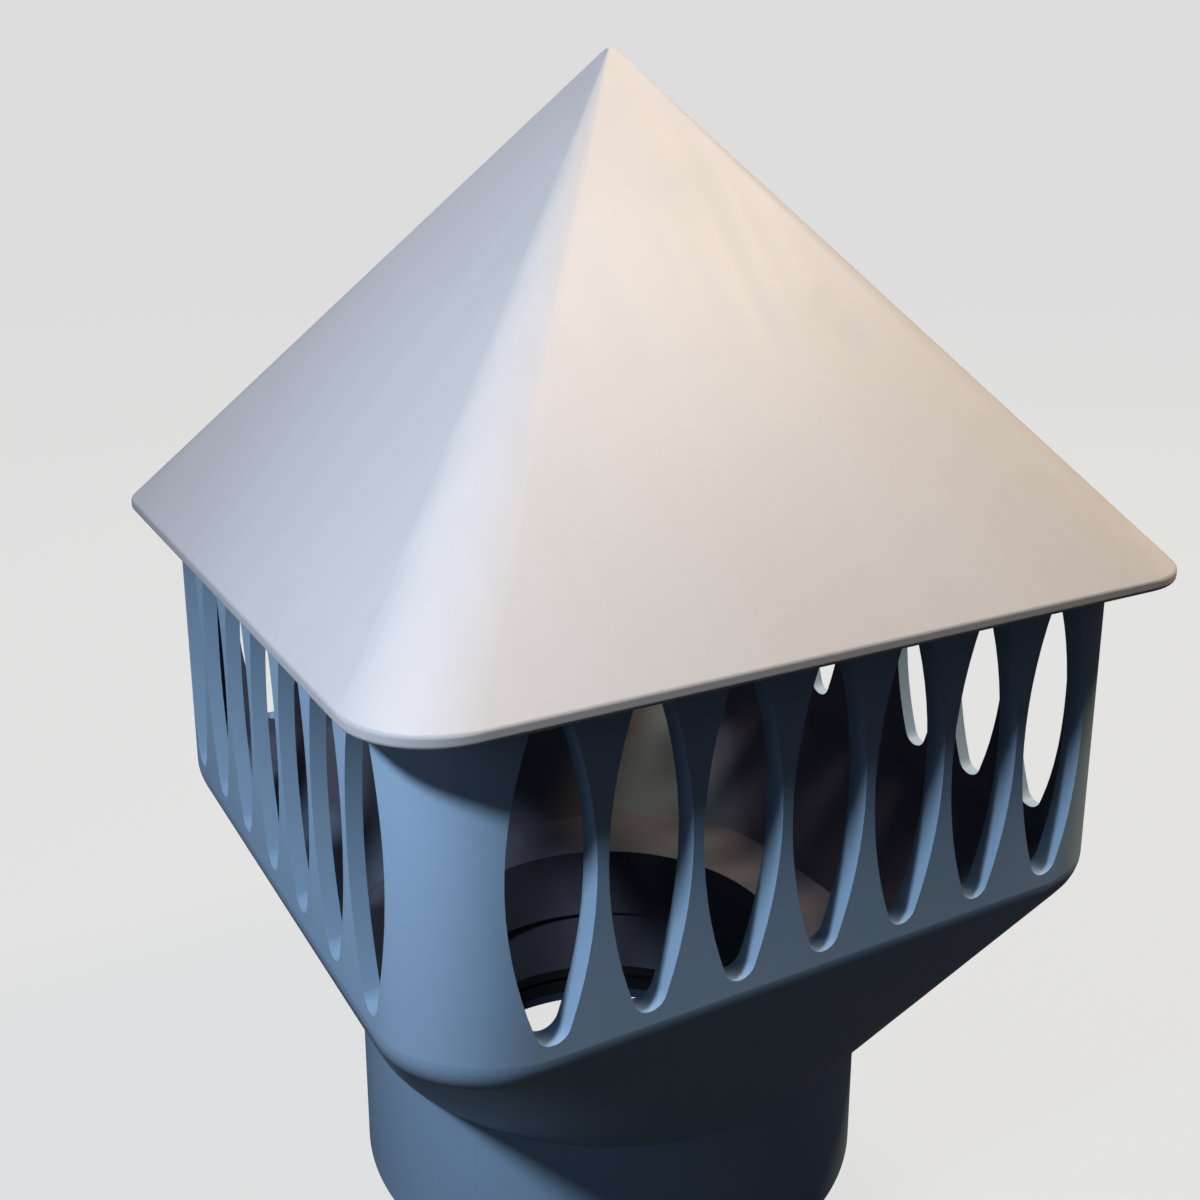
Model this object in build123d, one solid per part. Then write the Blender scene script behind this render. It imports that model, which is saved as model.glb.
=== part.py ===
from build123d import *
import math
import os

os.makedirs("parts", exist_ok=True)

# A rain cap for a plastic vent pipe. Lengths are in millimetres.
# The origin is the centre of the mouth, where the pipe goes in, and +Z is up.

# Pipe socket and throat
pipe_diameter = 88.9
pipe_clearance = 0.4          # radial, between the pipe and its socket
socket_depth = 28.0           # from the mouth up to the shoulder that stops the pipe
socket_wall = 4.8
shoulder_width = 1.65         # radial, the step that stops the pipe at the foot of the throat
ledge_rise = 11.0             # from the collar's top up to the ledge round the throat
ledge_thickness = 4.3

# Collar, the outer wall of the neck
collar_diameter = 120.0
collar_wall = 4.6
collar_height = 36.0
stub_length = 8.0             # the funnel's stub that the collar sleeves over
stub_wall = 4.0
stub_seat_depth = 1.5         # radial, how far the stub's seat is cut into the collar
stub_root = 3.0               # the height of the ring that joins the stub to the funnel
glue_gap = 0.05               # radial, between the stub and the collar

# Funnel
funnel_height = 48.0
funnel_wall = 4.3

# Cage
cage_corner_radius = 20.0
cage_wall = 4.9               # the front and the back
cage_side_wall = 3.2          # the left and the right side
cage_height = 68.9            # from the funnel's top to the level of the eave
cage_bottom_rounding = 9.0

# Slots in the cage
slot_pitch = 19.2
slot_margin = 13.0            # at least this much is left beside the first and last slot's strip
slot_width = 17.0
slot_height = 62.0
slot_tip_radius = 3.5
slot_sill = 4.6               # from the funnel's top up to the slots' lower tips

# Roof hood
roof_width = 180.0
eave_overhang = 8.5           # from the cage's flat side out to the eave
roof_corner_radius = 17.0
roof_rise = 103.6             # from the eave's upper edge to the point where the faces meet
roof_wall = 3.5
eave_depth = 2.4
eave_rounding = 0.95
apex_width = 1.6
seat_gap = 0.3                # between the cage's rim and the underside of the roof

# Corner fittings that hold the hood down
peg_inset = 20.5              # from the cage's flat side to a peg's axis
peg_diameter = 7.0
peg_root_length = 12.0
peg_reach = 12.0              # below the boss
peg_tip_length = 3.0
peg_tip_diameter = 4.0
peg_press_gap = 0.02          # radial, in the boss
peg_running_gap = 0.08        # radial, in the grommet
boss_diameter = 13.0
lug_thickness = 5.0
lug_reach = 11.0              # from a peg's axis to the lug's inner edges
lug_gap = 0.2                 # from the slots' upper tips up to the lugs
grommet_wall = 2.4
grommet_flange_diameter = 16.0
grommet_flange = 1.5
grommet_gap = 0.05            # radial, in the lug

# Pipe seal
seal_height = 7.0
seal_lip_gap = 0.25           # radial, between the lips and the pipe
seal_depth = 2.3              # radial, how far its seat is cut into the socket
seal_seat_gap = 0.1           # radial, behind the seal
seal_groove_depth = 1.2
seal_groove_height = 1.6
retainer_height = 3.0
retainer_gap = 0.02           # radial, it is pressed in
retainer_bore_gap = 0.6       # radial, between the retainer and the pipe
retainer_recess = 0.3         # above the mouth

# Grub screws that lock the collar and the socket to the pipe
screw_count = 3
screw_diameter = 5.0
screw_level = 17.5            # above the mouth
screw_gap = 0.03              # radial, in its holes
screw_recess = 0.2            # inside the collar's outer face, and outside the socket's bore
hex_across_flats = 2.5
hex_depth = 2.0

# Working allowances
cutter_overrun = 1.0          # how far a cutting solid runs past what it cuts
seam_flat = 0.04              # the tiny flat left on each side of a circle drawn as a rounded square
level_slack = 0.01            # for picking edges by their level

# Values that follow from the sizes above
pipe_radius = pipe_diameter / 2
bore_radius = pipe_radius + pipe_clearance
socket_radius = bore_radius + socket_wall
throat_radius = bore_radius - shoulder_width
collar_radius = collar_diameter / 2
collar_bore_radius = collar_radius - collar_wall
ledge_top = collar_height + ledge_rise
ledge_bottom = ledge_top - ledge_thickness
funnel_top = collar_height + funnel_height
eave_level = funnel_top + cage_height
slot_bottom = funnel_top + slot_sill
slot_top = slot_bottom + slot_height
roof_slope = math.atan2(roof_rise, roof_width / 2)
cage_width = roof_width - 2 * eave_overhang
slots_per_side = math.floor((cage_width - 2 * slot_margin) / slot_pitch)
lug_bottom = slot_top + lug_gap
lug_top = lug_bottom + lug_thickness
boss_bottom = lug_top + grommet_flange
peg_offset = cage_width / 2 - peg_inset
grommet_bore_radius = peg_diameter / 2 + peg_running_gap
grommet_radius = grommet_bore_radius + grommet_wall
lug_hole_radius = grommet_radius + grommet_gap
seal_seat_radius = bore_radius + seal_depth
stub_seat_radius = collar_bore_radius + stub_seat_depth
seal_bottom = retainer_recess + retainer_height
seat_top = seal_bottom + seal_height


def rounded_square(side, radius):
    """A square outline with rounded corners, centred on the axis."""
    return RectangleRounded(side, side, radius)


def tube(outer_radius, inner_radius, bottom, top):
    """A round tube about the axis."""
    ring = Circle(outer_radius) - Circle(inner_radius)
    return extrude(Plane.XY.offset(bottom) * ring, amount=top - bottom)


def corner_places():
    """The four peg axes, one in each corner of the cage."""
    return [(x * peg_offset, y * peg_offset) for x in (-1, 1) for y in (-1, 1)]


def at_corners(solid):
    """One copy of a fitting in each corner."""
    return [Pos(x, y, 0) * solid for x, y in corner_places()]


def edges_at(solid, level):
    """The edges of a solid that lie at one level."""
    return solid.edges().filter_by_position(Axis.Z, level - level_slack, level + level_slack)


def roof_solid(depth, bottom):
    """The space under the roof's surface moved in by depth, closed at the level bottom."""
    inset = depth / math.sin(roof_slope)
    side = roof_width - 2 * inset
    rise = (side / 2) * math.tan(roof_slope)
    eave = rounded_square(side, roof_corner_radius - inset)
    share = apex_width / side
    apex = rounded_square(apex_width, (roof_corner_radius - inset) * share)
    tip_level = eave_level + rise * (1 - share)
    slopes = loft([Plane.XY.offset(eave_level) * eave, Plane.XY.offset(tip_level) * apex], ruled=True)
    skirt = extrude(Plane.XY.offset(bottom) * eave, amount=eave_level - bottom)
    return slopes + skirt


def make_roof_hood():
    """The pyramid hood: a hollow shell with a boss in each corner for its peg."""
    eave_bottom = eave_level - eave_depth
    outside = roof_solid(0, eave_bottom)
    rounded = fillet(edges_at(outside, eave_level) + edges_at(outside, eave_bottom), eave_rounding)
    shell = rounded - roof_solid(roof_wall, eave_bottom - cutter_overrun)
    boss = extrude(Plane.XY.offset(boss_bottom) * Circle(boss_diameter / 2), amount=roof_rise)
    core = roof_solid(roof_wall / 2, boss_bottom)
    socket_radius = peg_diameter / 2 + peg_press_gap
    socket = extrude(Plane.XY.offset(boss_bottom) * Circle(socket_radius), amount=peg_root_length)
    for corner_boss in at_corners(boss):
        shell += corner_boss & core
    for corner_socket in at_corners(socket):
        shell -= corner_socket
    return shell


def make_hood_pegs():
    """Four plain pegs: the root sits in the hood's boss and the shank goes down through the grommet."""
    radius = peg_diameter / 2
    tip_radius = peg_tip_diameter / 2
    bottom = boss_bottom - peg_reach
    profile = Polyline(
        (0, bottom),
        (tip_radius, bottom),
        (radius, bottom + peg_tip_length),
        (radius, boss_bottom + peg_root_length),
        (0, boss_bottom + peg_root_length),
        close=True,
    )
    peg = revolve(Plane.XZ * make_face(profile), Axis.Z)
    return at_corners(peg)


def make_peg_grommets():
    """Four rubber grommets, one in each lug, with a flange above and below it."""
    flanges = [
        tube(grommet_flange_diameter / 2, grommet_bore_radius, lug_bottom - grommet_flange, lug_bottom),
        tube(grommet_flange_diameter / 2, grommet_bore_radius, lug_top, lug_top + grommet_flange),
    ]
    grommet = tube(grommet_radius, grommet_bore_radius, lug_bottom, lug_top)
    for flange in flanges:
        grommet += flange
    return at_corners(grommet)


def slot_outline():
    """A pointed slot: two long arcs whose ends are rounded by small tip arcs."""
    half_width = slot_width / 2
    tip_centre = slot_height / 2 - slot_tip_radius
    side_radius = (half_width**2 + tip_centre**2 - slot_tip_radius**2) / (2 * (half_width - slot_tip_radius))
    side_centre = side_radius - half_width
    lean = math.atan2(tip_centre, side_centre)
    touch_x = slot_tip_radius * math.cos(lean)
    touch_y = tip_centre + slot_tip_radius * math.sin(lean)
    right = ThreePointArc((touch_x, -touch_y), (half_width, 0), (touch_x, touch_y))
    top = ThreePointArc((touch_x, touch_y), (0, slot_height / 2), (-touch_x, touch_y))
    left = ThreePointArc((-touch_x, touch_y), (-half_width, 0), (-touch_x, -touch_y))
    bottom = ThreePointArc((-touch_x, -touch_y), (0, -slot_height / 2), (touch_x, -touch_y))
    return make_face([right, top, left, bottom])


def slot_cutters():
    """Bars through both walls of a pair of sides, for every slot of the cage."""
    middle = (slot_bottom + slot_top) / 2
    bar = extrude(slot_outline(), amount=cage_width / 2 + cutter_overrun, both=True)
    bars = []
    for number in range(slots_per_side):
        along = (number - (slots_per_side - 1) / 2) * slot_pitch
        bars.append(Pos(along, 0, middle) * Rot(90, 0, 0) * bar)
        bars.append(Pos(0, along, middle) * Rot(0, 0, 90) * Rot(90, 0, 0) * bar)
    return bars


def cage_outline(share):
    """The cage from above, moved in through its walls: share 0 is their outer face and 1 the inner."""
    width = cage_width - 2 * share * cage_side_wall
    depth = cage_width - 2 * share * cage_wall
    return RectangleRounded(width, depth, cage_corner_radius - share * cage_wall)


def round_outline(radius):
    """A circle drawn as a rounded square with tiny flats, so that it lofts side by side with the cage."""
    return rounded_square(2 * radius, radius - seam_flat / 2)


def cage_block(outline, neck_radius, top):
    """A block that runs down into a funnel with a round end."""
    funnel = loft(
        [Plane.XY.offset(collar_height) * round_outline(neck_radius), Plane.XY.offset(funnel_top) * outline],
        ruled=True,
    )
    return funnel + extrude(Plane.XY.offset(funnel_top) * outline, amount=top - funnel_top)


def make_lugs():
    """Four shelves across the cage's corners, above the slots, each with a hole for its grommet."""
    outer_edge = cage_width / 2
    inner_edge = peg_offset - lug_reach
    middle = (outer_edge + inner_edge) / 2
    square = Pos(middle, middle) * Rectangle(outer_edge - inner_edge, outer_edge - inner_edge)
    corner_shape = cage_outline(0.5)
    hole = Pos(peg_offset, peg_offset) * Circle(lug_hole_radius)
    lug = extrude(Plane.XY.offset(lug_bottom) * ((square & corner_shape) - hole), amount=lug_thickness)
    return [Rot(0, 0, 90 * quarter) * lug for quarter in range(4)]


def screw_angles():
    """Where the grub screws stand round the collar, in degrees from +X."""
    return [360 * number / screw_count for number in range(screw_count)]


def radial_bar(shape, start, length):
    """A bar that runs outwards along +X at the screws' level, from the radius start."""
    across = Plane(origin=(start, 0, screw_level), x_dir=(0, 1, 0), z_dir=(1, 0, 0))
    return extrude(across * shape, amount=length)


def screw_holes(start, length):
    """One round bar for each grub screw, from the radius start outwards."""
    bar = radial_bar(Circle(screw_diameter / 2), start, length)
    return [Rot(0, 0, angle) * bar for angle in screw_angles()]


def make_throat():
    """The tube from the ledge down to the mouth: its lower part is the pipe's socket."""
    throat = tube(socket_radius, throat_radius, 0, ledge_top)
    throat -= extrude(Circle(bore_radius), amount=socket_depth)
    throat -= extrude(Circle(seal_seat_radius), amount=seat_top)
    for bar in screw_holes(pipe_radius, socket_wall + cutter_overrun):
        throat -= bar
    return throat


def make_stub():
    """The round stub under the funnel that the collar sleeves over, and the ring it hangs from."""
    outer_radius = stub_seat_radius - glue_gap
    inner_radius = outer_radius - stub_wall
    root_radius = collar_radius - funnel_wall / 2
    stub = tube(outer_radius, inner_radius, collar_height - stub_length, collar_height)
    root = tube(root_radius, inner_radius, collar_height, collar_height + stub_root)
    return stub + root


def make_slotted_cage():
    """The cage, its funnel, ledge, pipe socket, stub and four corner lugs, in one moulding."""
    top = eave_level + roof_rise
    outside = cage_block(cage_outline(0), collar_radius, top)
    inside = cage_block(cage_outline(1), collar_radius - funnel_wall, top)
    rounded_outside = fillet(edges_at(outside, funnel_top), cage_bottom_rounding)
    rounded_inside = fillet(edges_at(inside, funnel_top), cage_bottom_rounding - cage_wall)
    ledge = tube(cage_width, throat_radius, ledge_bottom, ledge_top)
    cage = rounded_outside - (rounded_inside - ledge)
    for bar in slot_cutters():
        cage -= bar
    for lug in make_lugs():
        cage += lug
    cage = cage & roof_solid(roof_wall + seat_gap, 0)
    return cage + make_stub() + make_throat()


def make_pipe_collar():
    """The round collar, with a seat at its top for the stub and a hole for each screw."""
    collar = tube(collar_radius, collar_bore_radius, 0, collar_height)
    stub_seat = Plane.XY.offset(collar_height - stub_length) * Circle(stub_seat_radius)
    collar -= extrude(stub_seat, amount=stub_length)
    for bar in screw_holes(collar_bore_radius - cutter_overrun, collar_wall + 2 * cutter_overrun):
        collar -= bar
    return collar


def make_lip_seal():
    """The rubber ring in the socket's seat: two lips with a groove between them."""
    lip_radius = pipe_radius + seal_lip_gap
    seal = tube(seal_seat_radius - seal_seat_gap, lip_radius, seal_bottom, seat_top)
    groove_bottom = (seal_bottom + seat_top - seal_groove_height) / 2
    groove = Plane.XY.offset(groove_bottom) * Circle(lip_radius + seal_groove_depth)
    return seal - extrude(groove, amount=seal_groove_height)


def make_seal_retainer():
    """The flat ring pressed into the mouth under the seal."""
    return tube(
        seal_seat_radius - retainer_gap,
        pipe_radius + retainer_bore_gap,
        retainer_recess,
        retainer_recess + retainer_height,
    )


def make_grub_screws():
    """Headless screws through the collar and the socket, each with a hexagon socket."""
    outer_end = collar_radius - screw_recess
    inner_end = bore_radius + screw_recess
    screw = radial_bar(Circle(screw_diameter / 2 - screw_gap), inner_end, outer_end - inner_end)
    socket = RegularPolygon(hex_across_flats / 2, 6, major_radius=False)
    screw -= radial_bar(socket, outer_end - hex_depth, hex_depth)
    return [Rot(0, 0, angle) * screw for angle in screw_angles()]


def save(name, solids):
    """Writes one piece, or a group of like pieces, under its node's name."""
    group = solids if isinstance(solids, list) else [solids]
    pieces = [piece for solid in group for piece in solid.solids()]
    export_step(Compound(children=pieces), f"parts/{name}.step")
    print(name, len(pieces), "solid(s)")


save("roof_hood", make_roof_hood())
save("hood_pegs", make_hood_pegs())
save("peg_grommets", make_peg_grommets())
save("slotted_cage", make_slotted_cage())
save("pipe_collar", make_pipe_collar())
save("lip_seal", make_lip_seal())
save("seal_retainer", make_seal_retainer())
save("grub_screws", make_grub_screws())
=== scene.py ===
# %% [markdown]
# # A rain cap for a vent pipe
# The cap keeps rain out of a vent pipe and lets the air through. A pyramid hood sits on a slotted
# cage, and the cage's funnel ends in a round collar that slips over the pipe.
# The solids of every piece are made elsewhere, at their real size. They are loaded here as a fixed
# frame, in metres, with +Z up and the origin at the middle of the collar's open mouth. What is
# left to make is how they look: the view, the finishes and the light.

# %% Load the frame
import math

import bmesh
import bpy
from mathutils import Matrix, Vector


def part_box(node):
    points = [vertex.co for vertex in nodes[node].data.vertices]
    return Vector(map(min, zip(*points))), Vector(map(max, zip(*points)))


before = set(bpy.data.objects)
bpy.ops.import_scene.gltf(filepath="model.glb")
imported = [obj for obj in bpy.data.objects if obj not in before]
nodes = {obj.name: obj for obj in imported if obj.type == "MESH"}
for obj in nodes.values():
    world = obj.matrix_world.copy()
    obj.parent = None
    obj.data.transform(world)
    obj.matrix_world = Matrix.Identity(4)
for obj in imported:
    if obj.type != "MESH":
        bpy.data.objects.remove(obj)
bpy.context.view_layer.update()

mm = 0.001


def rounded(lengths):
    """Lengths to print, to a tenth of a millimetre."""
    return [round(length, 4) for length in lengths]


for name in sorted(nodes):
    low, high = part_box(name)
    print(name, "from", rounded(low), "to", rounded(high))

# %% [markdown]
# ## The view
# The camera was worked out from the outlines of the hood, the cage and the collar. It stands close
# to the cap, a little lower than the hood's point, and looks down past the front left corner. So
# the near corner looms and the far slots close up. A small shift stands for a picture that was
# cropped off its middle. The lens and its film are in millimetres here, as on a real camera.

# %% Camera
camera_azimuth = math.radians(-29.94)
camera_distance = 305.6 * mm
camera_height = 238.15 * mm
camera_turn = math.radians(-29.54)
camera_tilt = math.radians(14.63)
lens_length = 41.96
film_width = 36.0
picture_shift = -0.0833
nearest_seen = 1 * mm

camera_data = bpy.data.cameras.new("camera")
camera_data.lens = lens_length
camera_data.sensor_width = film_width
camera_data.shift_y = picture_shift
camera_data.clip_start = nearest_seen
camera = bpy.data.objects.new("camera", camera_data)
camera.location = (
    math.sin(camera_azimuth) * camera_distance,
    -math.cos(camera_azimuth) * camera_distance,
    camera_height,
)
camera.rotation_euler = (math.pi / 2 - camera_tilt, 0, camera_turn)
bpy.context.scene.collection.objects.link(camera)
bpy.context.scene.camera = camera
print("camera at", rounded(camera.location))

# %% [markdown]
# ## Shader maths in plain Python
# A finish is a chain of nodes. It could be wired by hand, link by link, but the idea gets lost in
# the wiring. Here one small class wraps an output socket, and each operator on it adds the Math
# node that does the sum, so a finish reads like the thought behind it.

# %% A signal in a shader
class Signal:
    """An output socket that can be used in sums."""

    def __init__(self, recipe, socket):
        self.recipe = recipe
        self.socket = socket

    def maths(self, operation, *terms):
        sockets = dict(enumerate(terms))
        return self.recipe.node("ShaderNodeMath", {"operation": operation}, sockets).out("Value")

    def __add__(self, other):
        return self.maths("ADD", self, other)

    def __radd__(self, other):
        return self.maths("ADD", other, self)

    def __sub__(self, other):
        return self.maths("SUBTRACT", self, other)

    def __rsub__(self, other):
        return self.maths("SUBTRACT", other, self)

    def __mul__(self, other):
        return self.maths("MULTIPLY", self, other)

    def __rmul__(self, other):
        return self.maths("MULTIPLY", other, self)

    def __abs__(self):
        return self.maths("ABSOLUTE", self)

    def __gt__(self, other):
        return self.maths("GREATER_THAN", self, other)

    def sign(self):
        """1 where the signal is above 0, and -1 elsewhere."""
        return 2 * (self > 0) - 1

    def or_larger(self, other):
        """The larger of two signals, place by place."""
        return self.maths("MAXIMUM", self, other)


# %% [markdown]
# Every other node comes from one method. It takes the node's type, its settings and what its
# sockets get, either a value or a signal. Noise, blends and ramps come up so often that each has
# a short name of its own. Some nodes have several sockets with one name, and those go by number.

# %% A recipe for a shader
first_colour = 6
second_colour = 7
colour_result = 2
first_shader = 1
second_shader = 2


class Step:
    """One node of a recipe."""

    def __init__(self, recipe, node):
        self.recipe = recipe
        self.node = node

    def out(self, name):
        return Signal(self.recipe, self.node.outputs[name])


class Recipe:
    """A material or a world that is built node by node."""

    def __init__(self, tree):
        self.tree = tree
        tree.nodes.clear()

    def node(self, kind, settings=None, sockets=None):
        made = self.tree.nodes.new(kind)
        for name, value in (settings or {}).items():
            setattr(made, name, value)
        for name, value in (sockets or {}).items():
            if isinstance(value, Signal):
                self.tree.links.new(value.socket, made.inputs[name])
            else:
                made.inputs[name].default_value = value
        return Step(self, made)

    def place(self):
        """The place on the piece, in metres."""
        return self.node("ShaderNodeTexCoord").out("Object")

    def facing(self):
        """The direction that the surface faces."""
        return self.node("ShaderNodeNewGeometry").out("Normal")

    def split(self, vector):
        """The three parts of a place or a direction."""
        parts = self.node("ShaderNodeSeparateXYZ", None, {"Vector": vector})
        return parts.out("X"), parts.out("Y"), parts.out("Z")

    def stretch(self, place, scale):
        """A place that is drawn out along an axis where the scale is small."""
        sockets = {"Vector": place, "Scale": scale}
        return self.node("ShaderNodeMapping", None, sockets).out("Vector")

    def noise(self, place, scale, detail=2.0):
        """Soft noise. A scale of 100 makes lumps of about 10 mm."""
        sockets = {"Vector": place, "Scale": scale, "Detail": detail}
        return self.node("ShaderNodeTexNoise", None, sockets).out("Fac")

    def ramp(self, value, limits):
        """0 below the first limit, 1 above the second, and even in between."""
        sockets = {"Value": value, "From Min": limits[0], "From Max": limits[1]}
        return self.node("ShaderNodeMapRange", {"clamp": True}, sockets).out("Result")

    def patches(self, place, scale, detail, limits):
        """A mask of noise: bare below the first limit, full above the second."""
        return self.ramp(self.noise(place, scale, detail), limits)

    def blend(self, share, first, second):
        """From the first colour at a share of 0 to the second at 1."""
        sockets = {"Factor": share, first_colour: first, second_colour: second}
        return self.node("ShaderNodeMix", {"data_type": "RGBA"}, sockets).out(colour_result)

    def blend_shaders(self, share, first, second):
        sockets = {"Fac": share, first_shader: first, second_shader: second}
        return self.node("ShaderNodeMixShader", None, sockets).out("Shader")


# %% [markdown]
# A finish starts from the place on the piece, in metres, because a moulding's clouds and a tube's
# draw lines have real sizes. The finished material then goes into the piece's slots.

# %% Start a material and give it to a piece
def new_material(name):
    """An empty material and the recipe that fills it."""
    material = bpy.data.materials.new(name)
    material.use_nodes = True
    return material, Recipe(material.node_tree)


def paint(node_name, material):
    """Puts a finished material into every slot of a piece."""
    slots = nodes[node_name].data.materials
    if not len(slots):
        slots.append(material)
    for number in range(len(slots)):
        slots[number] = material
    print(node_name, "is painted with", material.name)


# %% [markdown]
# ## Moulded plastic
# The hood and the cage are satin mouldings. Such plastic isn't one flat colour up close: the
# pigment clouds a little over a hand's width, the skin has the faint dimples called orange peel
# and a finer grain on them, and handling leaves scuffs that are paler and duller than the rest. A
# painted image could show all that, but noise at these four scales does it at any distance and
# from every side.

# %% Moulded plastic: the skin
cloud_scale = 14.0
cloud_detail = 3.0
cloud_limits = (0.35, 0.7)
cloud_dulling = 0.05
cloud_middle = 0.5
scuff_scale = 55.0
scuff_detail = 6.0
scuff_limits = (0.62, 0.78)
scuff_share = 0.25
scuff_dulling = 0.08
paling = 0.15
peel_scale = 420.0
grain_scale = 1100.0
grain_share = 0.3
relief_depth = 0.02 * mm
relief_strength = 0.3
plastic_ior = 1.46


def opaque(colour):
    return (*colour, 1)


def paler(colour):
    """The worn shade of a pigment."""
    return opaque(tuple((1 - paling) * part + paling for part in colour))


def surface_finish(recipe, base, roughness, height):
    """Joins colour, roughness and relief in one shader, and ends the recipe."""
    relief = {"Strength": relief_strength, "Distance": relief_depth, "Height": height}
    bump = recipe.node("ShaderNodeBump", None, relief).out("Normal")
    look = {"Base Color": base, "Roughness": roughness, "Normal": bump, "IOR": plastic_ior}
    shader = recipe.node("ShaderNodeBsdfPrincipled", None, look).out("BSDF")
    recipe.node("ShaderNodeOutputMaterial", None, {"Surface": shader})


# %% [markdown]
# Some mouldings also carry marks of their own in a pale veil, and some faces are darkened by a
# patchy dark film of painted shade, where shade falls inside and underneath. Where the veil and the
# painted shade lie comes with the piece, as a mask.

# %% Moulded plastic: the whole finish
veil_share = 0.3
veil_dulling = 0.05
# Painted shade: a patchy dark warm film that darkens faces where shade falls, inside and
# underneath.
painted_shade_colour = (0.15, 0.122, 0.148)
painted_shade_scale = 45.0
painted_shade_detail = 4.0
painted_shade_least = 0.8
painted_shade_dulling = 0.2


def moulded_plastic(name, colour, cloud_colour, roughness, marks=None, shaded_part=None):
    """A satin moulding. Marks masks its pale veil, and the other mask its painted shade."""
    material, recipe = new_material(name)
    place = recipe.place()
    clouds = recipe.patches(place, cloud_scale, cloud_detail, cloud_limits)
    scuffs = recipe.patches(place, scuff_scale, scuff_detail, scuff_limits)
    base = recipe.blend(clouds, opaque(colour), opaque(cloud_colour))
    base = recipe.blend(scuff_share * scuffs, base, paler(colour))
    dullness = roughness + scuff_dulling * scuffs + cloud_dulling * (clouds - cloud_middle)
    if marks:
        veil = marks(recipe, place)
        base = recipe.blend(veil_share * veil, base, paler(colour))
        dullness = dullness + veil_dulling * veil
    # Painted shade: the masked faces are darkened towards a dark warm colour, in patches.
    if shaded_part:
        shade_strength = painted_shade_least + (1 - painted_shade_least) * recipe.noise(place, painted_shade_scale, painted_shade_detail)
        painted_shade = shaded_part(recipe, place) * shade_strength
        base = recipe.blend(painted_shade, base, opaque(painted_shade_colour))
        dullness = dullness + painted_shade_dulling * painted_shade
    height = recipe.noise(place, peel_scale) + grain_share * recipe.noise(place, grain_scale)
    surface_finish(recipe, base, dullness, height)
    return material


# %% [markdown]
# ## The hood's rain streaks
# Rain runs straight down each slope of the hood and leaves faint thin lines there. Noise that is
# squeezed along the eave and drawn out up the slope gives such lines. Each slope needs its own
# direction along the eave: X on the front and the back, Y on the two sides.
# The hood's underside is darkened with painted shade, as far out as the cage's walls.

# %% Hood
streak_scale = 170.0
streak_detail = 3.0
streak_limits = (0.45, 0.75)
streak_stretch = 0.05
underside_limits = (0.1, 0.4)
wall_limits = (76 * mm, 82 * mm)


def rain_streaks(recipe, place):
    """Thin lines that run down each slope of the hood."""
    x, y, z = recipe.split(place)
    faces_front = abs(y) > abs(x)
    along = faces_front * x + (1 - faces_front) * y
    sockets = {"X": along, "Y": streak_stretch * z, "Z": faces_front}
    drawn_out = recipe.node("ShaderNodeCombineXYZ", None, sockets).out("Vector")
    return recipe.patches(drawn_out, streak_scale, streak_detail, streak_limits)


def under_hood(recipe, place):
    """1 on the faces that look down, as far out as the cage's walls."""
    x, y = recipe.split(place)[:2]
    upward = recipe.split(recipe.facing())[2]
    reach = abs(x).or_larger(abs(y))
    # Where this mask is 1, painted shade darkens the hood's underside.
    return recipe.ramp(0 - upward, underside_limits) * (1 - recipe.ramp(reach, wall_limits))


hood_plastic = moulded_plastic(
    "hood_plastic",
    colour=(0.70, 0.665, 0.63),
    cloud_colour=(0.665, 0.63, 0.595),
    roughness=0.5,
    marks=rain_streaks,
    shaded_part=under_hood,
)
paint("roof_hood", hood_plastic)

# %% [markdown]
# ## The cage: chalk outside, painted shade inside
# Blue pigment fades where the sun and the rain reach it, first on what faces up, such as the slots'
# lower ends. Inside, painted shade makes the walls and the ledge nearly black, with dull warm
# patches where a lamp finds them. The surface's own direction tells which faces these are, so
# nothing has to be placed by hand.

# %% Cage
chalk_scale = 90.0
chalk_detail = 4.0
chalk_limits = (0.3, 1.0)
inward_limits = (0.4, 0.8)
ledge_limits = (0.5, 0.8)
slot_floor = 80 * mm


def chalk(recipe, place):
    """A patchy veil on what faces up."""
    upward = recipe.split(recipe.facing())[2]
    return recipe.ramp(upward, chalk_limits) * recipe.noise(place, chalk_scale, chalk_detail)


def inside_cage(recipe, place):
    """1 on the faces that look inward, and on what faces up below the slots."""
    x, y, z = recipe.split(place)
    along_x, along_y, upward = recipe.split(recipe.facing())
    in_front = abs(y) > abs(x)
    outward = in_front * (along_y * y.sign()) + (1 - in_front) * (along_x * x.sign())
    ledges = recipe.ramp(upward, ledge_limits) * (1 - (z > slot_floor))
    # Where this mask is 1, painted shade darkens the inside of the cage.
    return recipe.ramp(0 - outward, inward_limits).or_larger(ledges)


cage_plastic = moulded_plastic(
    "cage_plastic",
    colour=(0.45, 0.63, 0.79),
    cloud_colour=(0.42, 0.60, 0.76),
    roughness=0.45,
    marks=chalk,
    shaded_part=inside_cage,
)
paint("slotted_cage", cage_plastic)

# %% [markdown]
# ## The drawn collar
# The collar is cut from a drawn tube, not moulded. The die leaves hair lines along the tube, so
# the same noise is squeezed round the tube and drawn out along it.

# %% Collar
line_scale = 1300.0
line_detail = 3.0
line_limits = (0.4, 0.8)
line_stretch = (1.0, 1.0, 0.02)


def draw_lines(recipe, place):
    """Hair lines along the tube."""
    squeezed = recipe.stretch(place, line_stretch)
    return recipe.patches(squeezed, line_scale, line_detail, line_limits)


collar_plastic = moulded_plastic(
    "collar_plastic",
    colour=(0.43, 0.61, 0.78),
    cloud_colour=(0.40, 0.58, 0.75),
    roughness=0.42,
    marks=draw_lines,
)
paint("pipe_collar", collar_plastic)

# %% [markdown]
# ## Rubber and nylon
# The lip seal and the grommets are black rubber, which is matt, with a dusty bloom on it. The pegs
# are undyed nylon, slightly yellow and smoother than the hood. The seal's retainer is the cage's
# plastic in a darker batch.

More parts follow.
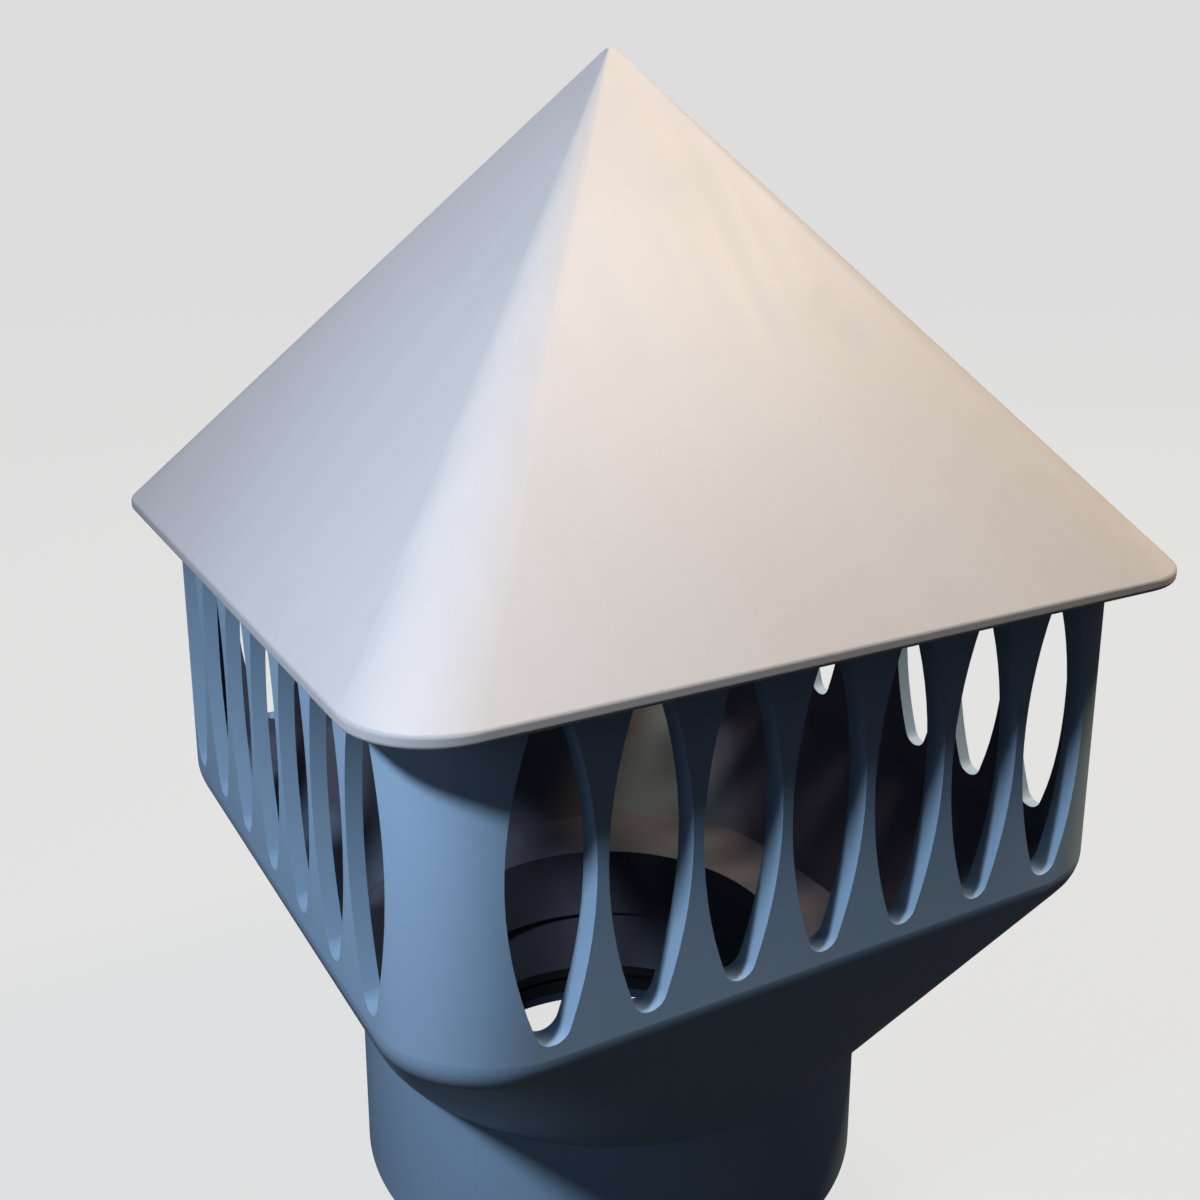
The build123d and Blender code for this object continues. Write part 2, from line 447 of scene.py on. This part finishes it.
# %% Small mouldings
rubber = moulded_plastic(
    "black_rubber",
    colour=(0.022, 0.022, 0.024),
    cloud_colour=(0.03, 0.03, 0.031),
    roughness=0.68,
)
nylon = moulded_plastic(
    "natural_nylon",
    colour=(0.60, 0.59, 0.53),
    cloud_colour=(0.56, 0.55, 0.49),
    roughness=0.38,
)
retainer_plastic = moulded_plastic(
    "retainer_plastic",
    colour=(0.09, 0.14, 0.215),
    cloud_colour=(0.08, 0.13, 0.20),
    roughness=0.45,
)
for node_name, finish in (
    ("lip_seal", rubber),
    ("peg_grommets", rubber),
    ("hood_pegs", nylon),
    ("seal_retainer", retainer_plastic),
):
    paint(node_name, finish)

# %% [markdown]
# ## Stainless steel
# The grub screws are turned steel. A lathe leaves rings too fine to see one by one, and they make
# the shine uneven. Fine noise in the roughness does that without any relief.

# %% Screws
steel_colour = (0.62, 0.61, 0.60)
tarnish_colour = (0.45, 0.43, 0.40)
tarnish_scale = 500.0
tarnish_detail = 4.0
tarnish_limits = (0.5, 0.8)
tarnish_share = 0.4
tarnish_dulling = 0.15
ring_scale = 2600.0
ring_stretch = (1.0, 1.0, 0.2)
ring_dulling = 0.15
steel_roughness = 0.24


def stainless_steel():
    """Plain turned steel with an uneven shine and a few dull spots."""
    material, recipe = new_material("stainless_steel")
    place = recipe.place()
    rings = recipe.noise(recipe.stretch(place, ring_stretch), ring_scale)
    tarnish = recipe.patches(place, tarnish_scale, tarnish_detail, tarnish_limits)
    base = recipe.blend(tarnish_share * tarnish, opaque(steel_colour), opaque(tarnish_colour))
    dullness = steel_roughness + ring_dulling * rings + tarnish_dulling * tarnish
    look = {"Base Color": base, "Metallic": 1.0, "Roughness": dullness}
    shader = recipe.node("ShaderNodeBsdfPrincipled", None, look).out("BSDF")
    recipe.node("ShaderNodeOutputMaterial", None, {"Surface": shader})
    return material


paint("grub_screws", stainless_steel())

# %% [markdown]
# ## A pale room
# The cap stands on a pale floor in a pale room with no corner in sight. Bright walls would also
# throw light up under the funnel, where the photograph is nearly black. So floor and room show
# their pale colour only to the camera and through clear or shiny things, and everything else meets
# a dark room. Gloss gets a dim share of it, or satin plastic would look milky.

# %% What sees the pale colour
room_shade = 0.72
gloss_share = 0.05


def grey(shade):
    return (shade, shade, shade, 1)


def seen_directly(recipe):
    """1 for the camera and through clear things, less for reflections, 0 for stray light."""
    path = recipe.node("ShaderNodeLightPath")
    straight = path.out("Is Camera Ray") + path.out("Is Transmission Ray")
    return straight + gloss_share * path.out("Is Glossy Ray")


# %% [markdown]
# ## The floor
# The floor has to melt into the room and still take the cap's shadow. So it glows in the room's
# colour, and a small share of matt paint is mixed in, which the lamps light and the cap shades.
# The glow is a little brighter, to make up for that share. From below the floor is clear, so that
# one can look up into the collar. It lies a hair lower than the collar's rim, so the two faces
# never fight for the same place.

# %% Floor
floor_reach = 30.0
floor_gap = 0.2 * mm
paint_share = 0.08
dark_shade = 0.02


def matt(recipe, shade):
    return recipe.node("ShaderNodeBsdfDiffuse", None, {"Color": grey(shade)}).out("BSDF")


def floor_finish():
    """Pale to the camera, dark to stray light and clear from below."""
    material, recipe = new_material("floor")
    glow_colour = grey(room_shade / (1 - paint_share))
    glow = recipe.node("ShaderNodeEmission", None, {"Color": glow_colour}).out("Emission")
    pale_face = recipe.blend_shaders(paint_share, glow, matt(recipe, room_shade))
    dark_face = matt(recipe, dark_shade)
    upper_face = recipe.blend_shaders(seen_directly(recipe), dark_face, pale_face)
    clear = recipe.node("ShaderNodeBsdfTransparent").out("BSDF")
    from_below = recipe.node("ShaderNodeNewGeometry").out("Backfacing")
    face = recipe.blend_shaders(from_below, upper_face, clear)
    recipe.node("ShaderNodeOutputMaterial", None, {"Surface": face})
    return material


def make_floor():
    """A wide flat floor whose far edge is at the horizon."""
    shape = bmesh.new()
    bmesh.ops.create_grid(shape, x_segments=1, y_segments=1, size=floor_reach)
    mesh = bpy.data.meshes.new("floor")
    shape.to_mesh(mesh)
    shape.free()
    mesh.materials.append(floor_finish())
    floor = bpy.data.objects.new("floor", mesh)
    floor.location.z = -floor_gap
    bpy.context.scene.collection.objects.link(floor)
    print("floor", floor_reach, "m each way from the cap")


make_floor()

# %% [markdown]
# ## The room
# The room is the world. It is pale wherever it is seen directly, and for everything else it gives
# only a trace of even blue light, so the deepest shadows don't go quite black.

# %% Room
stray_light = (0.021, 0.025, 0.037)


def make_room():
    """The world: pale to the camera, and a trace of even light for everything else."""
    world = bpy.data.worlds.new("room")
    world.use_nodes = True
    bpy.context.scene.world = world
    recipe = Recipe(world.node_tree)
    trace = recipe.node("ShaderNodeBackground", None, {"Color": opaque(stray_light)})
    wall = recipe.node("ShaderNodeBackground", None, {"Color": grey(room_shade)})
    share = seen_directly(recipe)
    sky = recipe.blend_shaders(share, trace.out("Background"), wall.out("Background"))
    recipe.node("ShaderNodeOutputWorld", None, {"Surface": sky})
    print("room of shade", room_shade)


make_room()
bpy.context.scene.view_settings.view_transform = "Standard"

# %% [markdown]
# ## The lamps
# A small cool lamp hangs close on the left and two warm ones hang higher on the right, so the two
# slopes of the hood part in colour and the eave's shadow falls across the cage. Two weak lamps on
# the left soften that shadow, and one behind lights the two far sides.
# A lamp of strength 1 lights a white sheet at the cap's middle until it looks just white. The
# energy grows with the square of the distance for that, so a lamp that is moved further off still
# lights the cap as brightly.

# %% Lamps
aim_point = Vector((0, 0, 150 * mm))


def add_lamp(name, azimuth, elevation, distance, width, colour):
    """A round lamp that points at the cap. Its colour also holds its strength."""
    around = math.radians(azimuth)
    up = math.radians(elevation)
    level = math.cos(up)
    toward_lamp = Vector((math.cos(around) * level, math.sin(around) * level, math.sin(up)))
    strength = max(colour)
    lamp_data = bpy.data.lights.new(name, "AREA")
    lamp_data.shape = "DISK"
    lamp_data.size = width
    lamp_data.energy = strength * (math.pi * distance) ** 2
    lamp_data.color = [part / strength for part in colour]
    lamp = bpy.data.objects.new(name, lamp_data)
    lamp.location = aim_point + distance * toward_lamp
    lamp.rotation_euler = (-toward_lamp).to_track_quat("-Z", "Y").to_euler()
    lamp.visible_camera = False
    bpy.context.scene.collection.objects.link(lamp)
    print(name, "at", rounded(lamp.location))


add_lamp(
    "cool_key", azimuth=206.8, elevation=33.3, distance=0.38, width=0.035, colour=(0.41, 0.50, 0.63)
)
add_lamp(
    "soft_left", azimuth=205, elevation=40, distance=0.45, width=0.1, colour=(0.04, 0.045, 0.065)
)
add_lamp(
    "low_left", azimuth=200, elevation=10, distance=0.35, width=0.1, colour=(0.018, 0.02, 0.028)
)
add_lamp(
    "top_fill", azimuth=330, elevation=65, distance=1.2, width=0.2, colour=(0.30, 0.245, 0.225)
)
add_lamp(
    "warm_top", azimuth=345, elevation=55, distance=1.2, width=0.3, colour=(0.56, 0.455, 0.30)
)
add_lamp(
    "back_fill", azimuth=50, elevation=40, distance=0.8, width=0.4, colour=(0.22, 0.26, 0.32)
)
